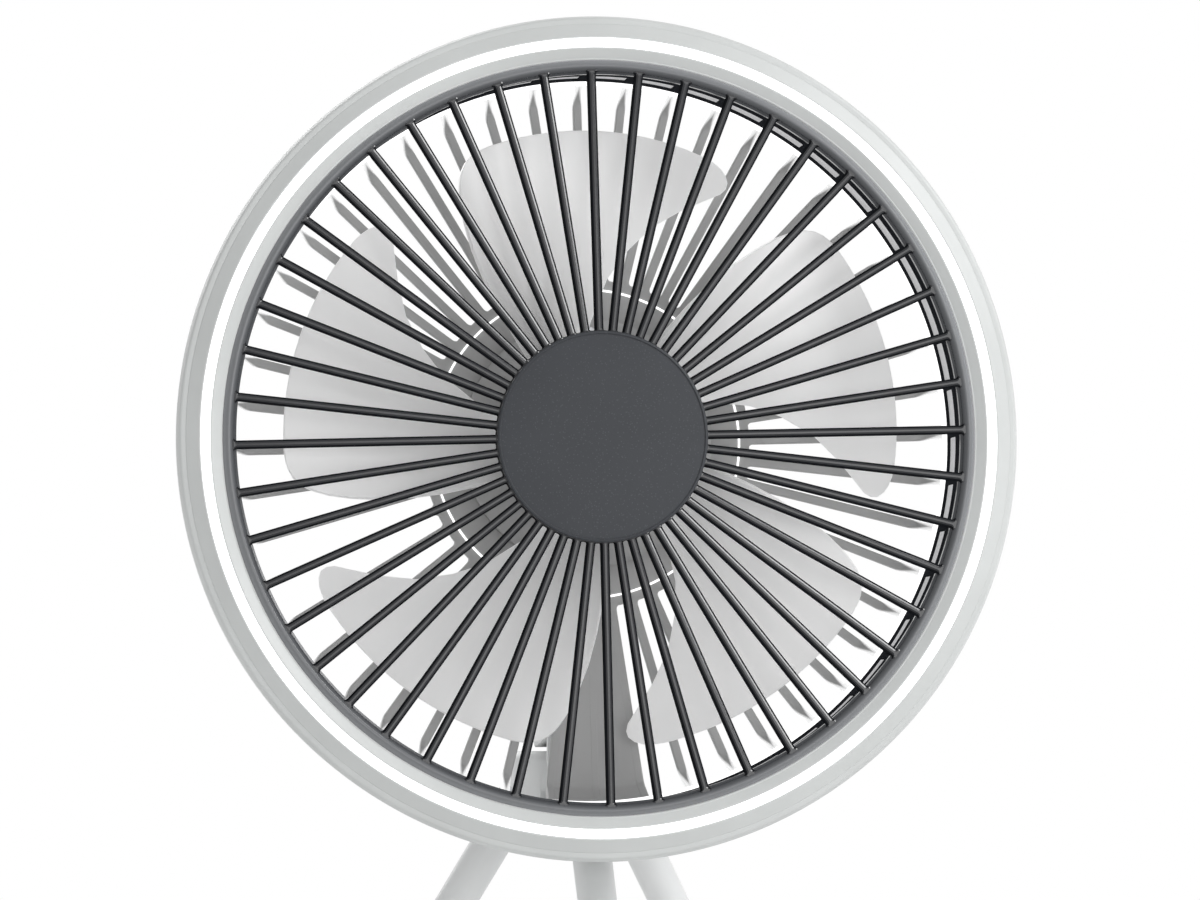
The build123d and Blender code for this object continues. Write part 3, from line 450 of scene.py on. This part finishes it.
def bar(path, half_width, thickness, facets, edge, turn):
    """Rib along a path of (radius, depth), crowned by facets (wide, deep) from its flank in."""
    half = thickness / 2
    rings = []
    for index, (radius, depth) in enumerate(path):
        before = Vector(path[max(index - 1, 0)])
        after = Vector(path[min(index + 1, len(path) - 1)])
        along = (after - before).normalized()
        rise = Vector((-along.y, along.x))  # towards the rear where the rib runs outwards
        wide = half_width(radius)
        crown = [(-wide, sum(deep for _, deep in facets) - half)]
        for facet_wide, facet_deep in facets:
            crown.append((crown[-1][0] + facet_wide, crown[-1][1] - facet_deep))
        crown += [(-across, up) for across, up in reversed(crown)]
        crown += [(wide, half), (-wide, half)]
        section = rounded([(*corner, edge) for corner in crown], 3)
        ring = []
        for across, up in section:
            r = radius + rise.x * up
            d = depth + rise.y * up
            middle = head_point(r, turn, d)
            angle = radians(turn)
            ring.append(middle + Vector((-sin(angle), 0, cos(angle))) * across * MM)
        rings.append(ring)
    return tube(rings)


def flared(width, window, inner_corner, outer_corner):
    """Half width of a rib between windows with rounded corners, at a radius."""
    inner, outer = window

    def corner(distance, radius):
        reach = min(max(radius - distance, 0), radius)
        return radius - sqrt(radius * radius - reach * reach)

    def at(radius):
        flare = corner(radius - inner, inner_corner) + corner(outer - radius, outer_corner)
        return width / 2 + flare

    return at


def stations(window, inner_corner, outer_corner, middle, overlap):
    """Radii along a rib: close together where its window's corners are."""
    inner, outer = window
    shares = (0, 0.08, 0.25, 0.55, 1)
    start = [inner + inner_corner * share for share in shares]
    end = [outer - outer_corner * share for share in reversed(shares)]
    return [inner - overlap, *start, *middle, *end, outer + overlap]


# ---- Front grille ------------------------------------------------------------------------------
def cone_depth(radius):
    """Depth of the middle of a front rib."""
    return CONE_DEPTH + CONE_RISE * (radius - CONE_START) / CONE_RUN


def paint_glow_inside(piece, reach, start, look):
    """Gives the inner walls inside a radius and behind a depth a painted glow, an emission that
    stands in for the ring's light there.
    """
    piece.data.materials.append(look)
    for face in piece.data.polygons:
        offset = (face.center - CENTRE) / MM
        inside = sqrt(offset.x ** 2 + offset.z ** 2) < reach and offset.y > start
        if inside and face.normal.y < REARWARD:
            face.material_index = len(piece.data.materials) - 1


def plain_behind(piece):
    """Gives the faces that look rearwards the housing's plain white."""
    piece.data.materials.append(WHITE)
    for face in piece.data.polygons:
        if face.normal.y > REARWARD:
            face.material_index = 1


def make_front_grille():
    """Crowned ribs between a hub ring and a rim with a rounded nose; the ribs' flanks are matt and
    glossless, painted shade that keeps them near-black.
    """
    width = flared(FRONT_RIB, FRONT_WINDOW, FRONT_WINDOW_CORNER, RIB_CORNER)
    radii = stations(FRONT_WINDOW, FRONT_WINDOW_CORNER, RIB_CORNER, (40, 55, 70, 82), 0.9)
    path = [(radius, cone_depth(radius)) for radius in radii]
    ribs = [
        bar(path, width, FRONT_RIB_DEEP, FRONT_CROWN, 0.1, RIB_TURN + RIB_PITCH * k)
        for k in range(RIB_COUNT)
    ]
    hub = lathe(
        rounded(
            [
                (19.0, 1.2, 0.2),
                (19.0, -1.5, 0.1),
                (24.6, -1.5, 0.2),
                (FRONT_WINDOW[0], -1.2, 0.2),
                (FRONT_WINDOW[0], 1.2, 0.3),
            ]
        )
    )
    rim = lathe(
        rounded(
            [
                (86.0, 1.25, 0.1),
                (86.55, 0.95, 0.1),
                (86.6, 0.55, 0.2),
                (87.5, -0.35, 0.6),
                (88.1, -0.5, 0.8),
                (89.2, 0.5, 0.5),
                (89.2, 3.0, 0.2),
                (86.0, 3.0, 0.3),
            ]
        )
    )
    finish_piece("front_grille_rim", *rim, "head", "grille_slate", PAINTED_RIM, ["front_grille"])
    shape = joined(hub, *ribs)
    crowned = finish_piece(
        "front_grille_ribs", *shape, "head", "grille_slate", SLATE, ["front_grille"]
    )
    # The flank faces get the painted shade material.
    crowned.data.materials.append(PAINTED_SHADE_FLANK)
    for face in crowned.data.polygons:
        if -face.normal.y < STEEP:
            face.material_index = 1


def make_hoop():
    """Windowed ring behind the rim: a post behind each rib and a band at either end."""
    bands = [
        lathe(rounded([(86.6, a, 0.15), (87.3, a, 0.1), (87.3, b, 0.15), (86.6, b, 0.2)]))
        for a, b in ((3.0, 11.5), (21.4, 22.4))
    ]
    posts = []
    for k in range(RIB_COUNT):
        turn = RIB_TURN + RIB_PITCH * k
        across = degrees(FRONT_RIB / 2 / 87.0)
        section = rounded(
            [(86.65, -across, 0), (87.25, -across, 0), (87.25, across, 0), (86.65, across, 0)]
        )
        levels = (11.1, 11.5, 12.0, 16, 20.9, 21.4, 21.8)
        flare = (1.5, 1.5, 1.0, 1.0, 1.0, 1.5, 1.5)
        rings = [
            [head_point(radius, turn + offset * wide, depth) for radius, offset in section]
            for depth, wide in zip(levels, flare)
        ]
        posts.append(tube(rings))
    shape = joined(*bands, *posts)
    finish_piece("grille_hoop_moulding", *shape, "head", "grille_slate", HOOP, ["grille_hoop"])


def make_cap():
    """Plain centre cap: a nearly flat disc with a soft edge and its spigot."""
    outline = [(0, -3.72), (6, -3.70), (12, -3.62), (18, -3.5)]
    outline += rounded([(24.0, -3.3, 0.7), (CAP_RADIUS, -2.9, 0.4), (CAP_RADIUS, -1.4, 0.1)])
    outline += [(18.8, -1.5), (18.8, 1.6), (17.2, 1.6), (17.2, -1.5), (0, -1.5)]
    shape = lathe(outline)
    finish_piece("centre_cap_disc", *shape, "head", "grille_slate", CAP, ["centre_cap"])


# ---- Bezel and ring light ----------------------------------------------------------------------
def make_bezel():
    """White ring with an inner and an outer bevel either side of the light's groove."""
    outline = rounded(
        [
            (89.3, 0.35, 0.12),
            (89.7, 0.3, 0.12),
            (91.9, -0.8, 0.3),
            (92.2, -0.78, 0.06),
            (92.2, 5.0, 0),
            (94.5, 5.0, 0),
            (94.5, -0.78, 0.06),
            (94.8, -0.8, 0.3),
            (97.75, 0.85, 0.3),
            (98.1, 1.25, 0),
            (98.1, 2.6, 0),
            (96.0, 2.6, 0),
            (96.0, 6.4, 0),
            (90.9, 6.4, 0),
            (90.9, 20.5, 0),
            (89.4, 20.5, 0.3),
        ],
        3,
    )
    bezel = finish_piece(
        "bezel_moulding", *lathe(outline), "head", "housing_white", WHITE, ["bezel_ring"]
    )
    # The bezel's inner wall gets a weak painted glow.
    paint_glow_inside(bezel, BEZEL_WALL, BEZEL_WALL_START, PAINTED_DIM_GLOW)


def make_diffuser():
    """Crowned frosted ring in the bezel's groove."""
    outline = [(92.25, 2.2), (92.25, -0.6)]
    outline += [
        (93.35 - 1.1 * cos(radians(a)), -0.6 - 0.4 * sin(radians(a))) for a in range(15, 180, 15)
    ]
    outline += [(94.45, -0.6), (94.45, 2.2)]
    shape = lathe(outline)
    finish_piece("light_ring", *shape, "head", "light_diffuser", LIGHT, ["light_diffuser"])


# ---- Rear basket -------------------------------------------------------------------------------
SHOULDER = [(80, 32), (81.6, 31.95), (82.9, 31.55), (83.7, 30.9), (84.3, 30.0)]


def shoulder_depth(radius):
    """Middle of the back wall: flat, then round, then down the shoulder."""
    path = [(38, 32), *SHOULDER, (88.0, 23.3)]
    for (r0, d0), (r1, d1) in zip(path, path[1:]):
        if radius <= r1:
            return d0 + (d1 - d0) * (radius - r0) / (r1 - r0)
    return path[-1][1]


def make_basket():
    """Ring housing, ribs over a flat back and round a shoulder, hub disc and closed panel."""
    housing = lathe(
        rounded(
            [
                (97.8, 0.98, 0.15),
                (99.3, 1.2, 0.9),
                (100.0, 3.4, 2.0),
                (99.65, 12.0, 6.0),
                (98.0, 19.6, 6.0),
                (93.4, 22.7, 2.5),
                (88.6, 24.0, 1.0),
                (87.4, 26.2, 0.3),
                (85.8, 25.0, 0.3),
                (86.8, 23.2, 0.6),
                (89.3, 22.2, 0.2),
                (89.3, 20.5, 0),
                (91.1, 20.5, 0),
                (92.6, 20.6, 0.5),
                (96.4, 17.0, 1.5),
                (97.7, 11.0, 1.5),
                (97.8, 5.6, 0.2),
                (96.6, 4.4, 0),
                (96.6, 2.6, 0),
                (97.95, 2.6, 0),
            ]
        )
    )
    wall = finish_piece("ring_housing", *housing, "head", "housing_white", WHITE, ["rear_basket"])
    # The housing's inner walls get painted glow: weak on the lip, full behind the hoop.
    paint_glow_inside(wall, LIP_WALL, LIP_WALL_START, PAINTED_DIM_GLOW)
    paint_glow_inside(wall, BEHIND_HOOP, LIP_WALL_START, PAINTED_GLOW)
    disc = lathe(rounded([(0, 31.08, 0), (39.7, 31.08, 0.3), (39.7, 32.92, 0.3), (0, 32.92, 0)]))
    bead = lathe(rounded([(36.9, 30.8, 0.1), (37.4, 30.8, 0.1), (37.4, 31.2, 0), (36.9, 31.2, 0)]))
    width = flared(REAR_RIB, REAR_SLOT, REAR_SLOT_CORNER, RIB_CORNER)
    inner_and_outer = stations(REAR_SLOT, REAR_SLOT_CORNER, RIB_CORNER, (50, 60, 72), 0.6)
    radii = sorted(set(inner_and_outer) | {radius for radius, _ in SHOULDER})
    path = [(radius, shoulder_depth(radius)) for radius in radii]
    ribs = [
        bar(path, width, REAR_RIB_DEEP, REAR_CROWN, 0.3, RIB_TURN + RIB_PITCH * k - 90)
        for k in range(RIB_COUNT)
    ]
    panel_radii = [39.8, 50, 60, 68, 76] + [r for r in radii if r >= 80]

    def panel_half(radius):
        """Half width of one closed slot, into the ribs beside it."""
        return radius * sin(radians(RIB_PITCH / 2)) - REAR_RIB / 4

    panels = [
        bar(
            [(radius, shoulder_depth(radius)) for radius in panel_radii],
            panel_half,
            PANEL_DEEP,
            PANEL_CROWN,
            0.02,
            RIB_TURN - 90 + side * RIB_PITCH / 2,
        )
        for side in (-1, 1)
    ]
    shape = joined(disc, *ribs, *panels)
    guard = finish_piece("rear_guard", *shape, "head", "housing_white", PAINTED_GUARD, ["rear_basket"])
    plain_behind(guard)
    # The bead carries the painted glow, a painted highlight line round the hub disc.
    finish_piece("rear_guard_bead", *bead, "head", "housing_white", PAINTED_GLOW)


# ---- Impeller ----------------------------------------------------------------------------------
LEADING_EDGE = [
    (19.6, 99), (28, 92.2), (38.9, 85.2), (46, 80.0), (53.5, 74.4), (60, 68.6), (65, 64.4),
    (68.0, 62.2), (69.8, 61.7), (71.3, 61.9), (72.6, 62.9), (73.5, 64.4), (74.0, 66.2),
    (74.2, 68.2),
]
TRAILING_EDGE = [
    (19.6, 133), (28, 130.4), (38.9, 127.6), (46, 125.8), (53.5, 123.8), (60, 121.8),
    (65, 120.1), (68.0, 118.8), (69.8, 117.9), (71.3, 116.9), (72.6, 115.6), (73.5, 114.0),
    (74.0, 112.2), (74.2, 110.2),
]
BLADE_STEPS = 22


def blade_point(radius, turn, side):
    """Point on one face of a blade: side is -1 in front and 1 behind."""
    slope = radians(turn - BLADE_TURN)
    lead = BLADE_LEAD / (2 * pi)
    depth = BLADE_DEPTH - lead * tan(slope)
    lean = Vector((0, 1, 0))
    angle = radians(turn)
    tangent = Vector((-sin(angle), 0, cos(angle)))
    steep = lead / (radius * cos(slope) ** 2)
    normal = (lean + tangent * steep).normalized()
    return head_point(radius, turn, depth) + normal * (side * BLADE_THICKNESS / 2 * MM)


def make_blade(turn):
    """One swept, twisted blade as a closed sheet."""
    rows = list(zip(LEADING_EDGE, TRAILING_EDGE))
    vertices, faces = [], []
    for side in (-1, 1):
        for (radius, lead), (_, trail) in rows:
            for step in range(BLADE_STEPS + 1):
                angle = lead + (trail - lead) * step / BLADE_STEPS
                point = blade_point(radius, angle, side) - CENTRE
                spun = Matrix.Rotation(-radians(turn), 3, "Y") @ point
                vertices.append(CENTRE + spun)
    wide = BLADE_STEPS + 1
    sheet = len(rows) * wide
    for row in range(len(rows) - 1):
        for step in range(BLADE_STEPS):
            a = row * wide + step
            faces.append((a, a + 1, a + wide + 1, a + wide))
            faces.append((sheet + a, sheet + a + wide, sheet + a + wide + 1, sheet + a + 1))
    border = [row * wide for row in range(len(rows))]
    border += [(len(rows) - 1) * wide + step for step in range(1, wide)]
    border += [row * wide + wide - 1 for row in range(len(rows) - 2, -1, -1)]
    border += [step for step in range(wide - 2, 0, -1)]
    for a, b in zip(border, border[1:] + border[:1]):
        faces.append((a, b, sheet + b, sheet + a))
    return vertices, faces


def make_impeller():
    """Hub cup with a domed front and five blades."""
    cup = lathe(
        rounded(
            [
                (1.48, 5.5, 0),
                (18.6, 5.5, 2.0),
                (21.5, 7.6, 1.8),
                (21.5, 25.5, 0.3),
                (18.0, 25.5, 0.3),
                (18.0, 8.0, 0),
                (1.48, 8.0, 0),
            ]
        ),
        96,
    )
    blades = [make_blade(360 / BLADE_COUNT * k) for k in range(BLADE_COUNT)]
    shape = joined(cup, *blades)
    piece = finish_piece(
        "impeller_moulding", *shape, "rotor", "blade_white", BLADE, ["impeller"], 50
    )
    edge = piece.modifiers.new("soft_edges", "BEVEL")
    edge.width = 0.45 * MM
    edge.segments = 3
    edge.limit_method = "ANGLE"
    edge.angle_limit = radians(50)
    piece.modifiers.move(1, 0)


make_front_grille()
make_hoop()
make_cap()
make_bezel()
make_diffuser()
make_basket()
make_impeller()

# ---- CAD nodes that stay: softened edges and even shading --------------------------------------
SOFT_EDGES = {
    "pod_cover": 0.5, "tilt_bracket": 0.5, "tripod_hub": 0.35, "tilt_neck": 0.4, "hub_cap": 0.2,
    "fan_button": 0.15, "light_button": 0.15, "leg_front": 0.2, "leg_left": 0.2,
    "leg_right": 0.2, "foot_front": 0.35, "foot_left": 0.35, "foot_right": 0.35,
    "tilt_pin": 0.25, "motor_plate": 0.2,
}
for node_name, width in SOFT_EDGES.items():
    node = frame["nodes"][node_name]
    node.data.set_sharp_from_angle(angle=radians(30))
    edge = node.modifiers.new("soft_edges", "BEVEL")
    edge.width = width * MM
    edge.segments = 2
    edge.limit_method = "ANGLE"
    edge.angle_limit = radians(40)
    node.modifiers.new("no_slivers", "WELD").merge_threshold = 0.002 * MM
    node.modifiers.new("even_normals", "WEIGHTED_NORMAL").keep_sharp = True


# ---- Floor, light and camera -------------------------------------------------------------------
def backdrop_rays(tree):
    """1 where the camera, gloss or glass sees the backdrop, and 0 where it lights the object."""
    path = tree.nodes.new("ShaderNodeLightPath")
    seen = path.outputs["Is Camera Ray"]
    for kind in ("Is Transmission Ray", "Is Glossy Ray"):
        seen = maths(tree, "MAXIMUM", seen, path.outputs[kind])
    return seen


FLOOR_REACH = 2.6
FLOOR_STEPS = 96
WHITE_FROM, WHITE_AT = 0.35, 1.0  # distances between which the floor turns white
FLOOR_GLOW = 0.5  # light it adds there to its own, for the camera, gloss and glass alone


def make_floor():
    """Plain pale floor, wide enough to pass out of view, and white where it is far off."""
    turns = [2 * pi * k / FLOOR_STEPS for k in range(FLOOR_STEPS)]
    vertices = [(0, 0, 0)]
    vertices += [(FLOOR_REACH * cos(turn), FLOOR_REACH * sin(turn), 0) for turn in turns]
    faces = [(0, k + 1, (k + 1) % FLOOR_STEPS + 1) for k in range(FLOOR_STEPS)]
    mesh = bpy.data.meshes.new("floor")
    mesh.from_pydata(vertices, [], faces)
    floor = bpy.data.objects.new("floor", mesh)
    bpy.context.scene.collection.objects.link(floor)
    material, tree, surface, place = shader("pale_floor")
    tint = ramp(tree, noise(tree, place, 3, 3), 0.3, 0.7, (0.90, 0.90, 0.90), (0.93, 0.93, 0.93))
    tree.links.new(tint, surface.inputs["Base Color"])
    length = tree.nodes.new("ShaderNodeVectorMath")
    length.operation = "LENGTH"
    tree.links.new(place, length.inputs[0])
    glow = (FLOOR_GLOW,) * 3
    far = ramp(tree, length.outputs["Value"], WHITE_FROM, WHITE_AT, (0, 0, 0), glow)
    tree.links.new(far, surface.inputs["Emission Color"])
    tree.links.new(backdrop_rays(tree), surface.inputs["Emission Strength"])
    surface.inputs["Roughness"].default_value = 0.7
    mesh.materials.append(material)


def make_world(fill):
    """White where the camera, gloss or glass sees it, and a softer fill for the rest."""
    world = bpy.data.worlds.new("studio")
    bpy.context.scene.world = world
    world.use_nodes = True
    tree = world.node_tree
    background = tree.nodes["Background"]
    level = spread(tree, backdrop_rays(tree), fill, 1.0)
    tree.links.new(level, background.inputs["Strength"])
    background.inputs["Color"].default_value = (1, 1, 1, 1)


def softbox(name, place, wide, tall, power):
    """Area light aimed at the fan's centre."""
    lamp = bpy.data.lights.new(name, "AREA")
    lamp.shape = "RECTANGLE"
    lamp.size = wide
    lamp.size_y = tall
    lamp.energy = power
    light = bpy.data.objects.new(name, lamp)
    light.location = place
    light.rotation_euler = (CENTRE - Vector(place)).to_track_quat("-Z", "Y").to_euler()
    bpy.context.scene.collection.objects.link(light)


# Each lamp: its place, width, height and power in watts.
LAMPS = {
    "key": ((1.16, -0.78, 1.03), 0.3, 0.9, 13.0),
    "front": ((0.45, -1.6, 0.05), 1.0, 1.0, 9.0),
    "back": ((-0.5, 1.2, 0.9), 0.9, 0.9, 6.0),
}
WORLD_FILL = 0.6

# The camera stands to the fan's left and a little below, facing it with a long lens.
FRAME_WIDTH = 1200
SENSOR_WIDTH = 36
VIEW_YAW = radians(6.93)
VIEW_PITCH = radians(2.86)
VIEW_DISTANCE = 1.379
FOCAL_PIXELS = 5854
SIDE_STEP = 0.43 * MM
RISE_STEP = 3.07 * MM


def make_camera():
    """Camera looking along its forward direction, level across."""
    side = Vector((cos(VIEW_YAW), -sin(VIEW_YAW), 0))
    forward = Vector(
        (cos(VIEW_PITCH) * sin(VIEW_YAW), cos(VIEW_PITCH) * cos(VIEW_YAW), sin(VIEW_PITCH))
    )
    up = side.cross(forward)
    place = CENTRE - side * SIDE_STEP - up * RISE_STEP - forward * VIEW_DISTANCE
    camera = bpy.data.objects.new("camera", bpy.data.cameras.new("camera"))
    camera.matrix_world = Matrix.Translation(place) @ Matrix(
        (side, up, -forward)
    ).transposed().to_4x4()
    camera.data.sensor_width = SENSOR_WIDTH
    camera.data.lens = FOCAL_PIXELS * SENSOR_WIDTH / FRAME_WIDTH
    camera.data.clip_end = 20
    bpy.context.scene.collection.objects.link(camera)
    bpy.context.scene.camera = camera


make_floor()
make_world(WORLD_FILL)
for lamp_name, lamp_settings in LAMPS.items():
    softbox(lamp_name, *lamp_settings)
make_camera()
bpy.context.scene.view_settings.view_transform = "Standard"
